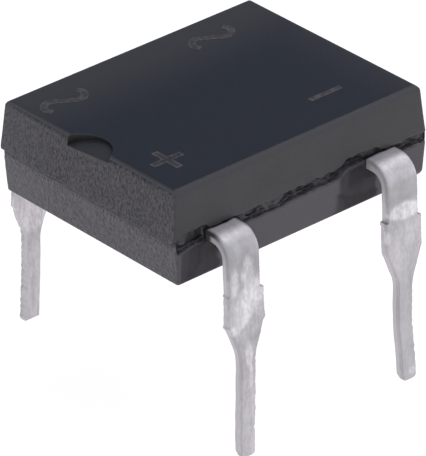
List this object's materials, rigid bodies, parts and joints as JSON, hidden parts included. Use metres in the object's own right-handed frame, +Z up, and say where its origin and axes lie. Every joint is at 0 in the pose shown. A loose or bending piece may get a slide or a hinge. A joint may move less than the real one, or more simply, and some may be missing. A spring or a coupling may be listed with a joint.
{
  "type": "bridge rectifier",
  "caption": "Small black moulded bridge rectifier with a half-moon index notch and splayed, tinned leads along both long sides; turns alternating current into direct current.",
  "frame": {"origin": "centre of the footprint, on the plane of the lead tips", "axes": "+X along the long side of the body away from the index notch, +Y from the direct-current row towards the alternating-current row, +Z up out of the top face"},
  "size_m": [0.0082, 0.0084, 0.0073],
  "materials": {
    "epoxy": "satin moulded epoxy",
    "tinned_lead": "satin tin over copper",
    "silicon": "polished",
    "solder": "satin"
  },
  "bodies": {
    "root": {"moulded_body": "epoxy", "lead_positive": "tinned_lead", "lead_negative": "tinned_lead", "lead_ac_1": "tinned_lead", "lead_ac_2": "tinned_lead", "diode_die_positive_ac_1": "silicon", "cathode_solder_positive_ac_1": "solder", "anode_solder_positive_ac_1": "solder", "diode_die_positive_ac_2": "silicon", "cathode_solder_positive_ac_2": "solder", "anode_solder_positive_ac_2": "solder", "diode_die_negative_ac_1": "silicon", "cathode_solder_negative_ac_1": "solder", "anode_solder_negative_ac_1": "solder", "diode_die_negative_ac_2": "silicon", "cathode_solder_negative_ac_2": "solder", "anode_solder_negative_ac_2": "solder"}
  },
  "joints": []
}
